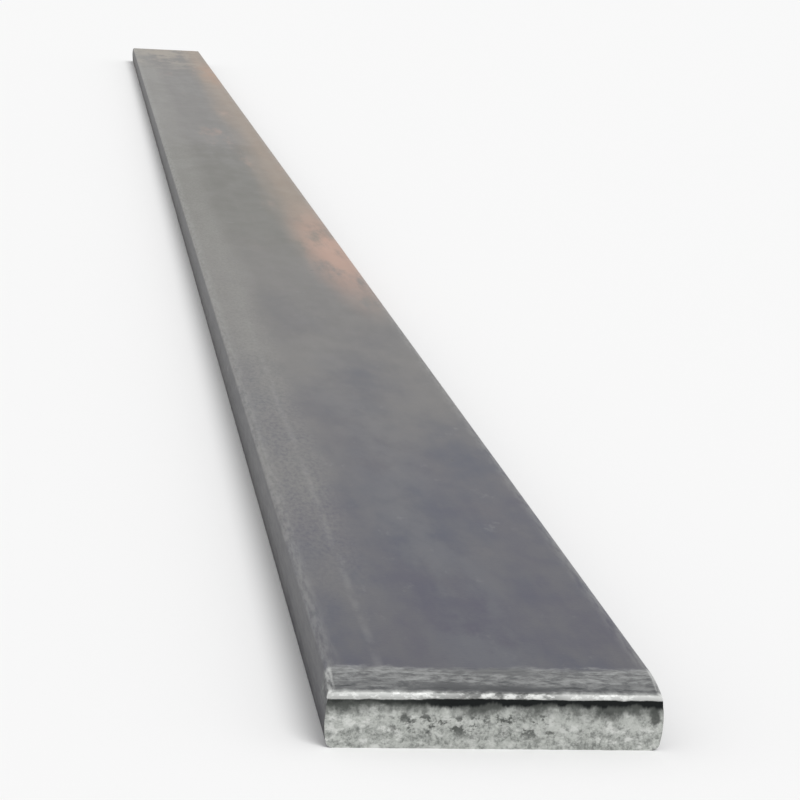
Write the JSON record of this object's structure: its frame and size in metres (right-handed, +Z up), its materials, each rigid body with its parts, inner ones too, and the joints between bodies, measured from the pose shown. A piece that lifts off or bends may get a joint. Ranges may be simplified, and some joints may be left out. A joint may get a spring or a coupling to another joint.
{
  "type": "hot-rolled steel flat bar",
  "caption": "Long, thick, narrow plate of hot-rolled steel with rounded rolled edges, cut to length with a shear so that each end has a drawn-down lip and a rough break.",
  "frame": {"origin": "centre of the bottom face, on the surface that the bar lies on", "axes": "+Y along the bar's length, from the end with its lip on top to the end with its lip underneath, +Z up through its thickness, +X across its width"},
  "size_m": [0.1999, 6, 0.04],
  "materials": {
    "mill_scale_steel": "blue-grey mill scale with faint lengthwise streaks and slight rust, bare light-grey steel on the sheared ends"
  },
  "bodies": {
    "root": {"flat_bar": "mill_scale_steel"}
  },
  "joints": []
}
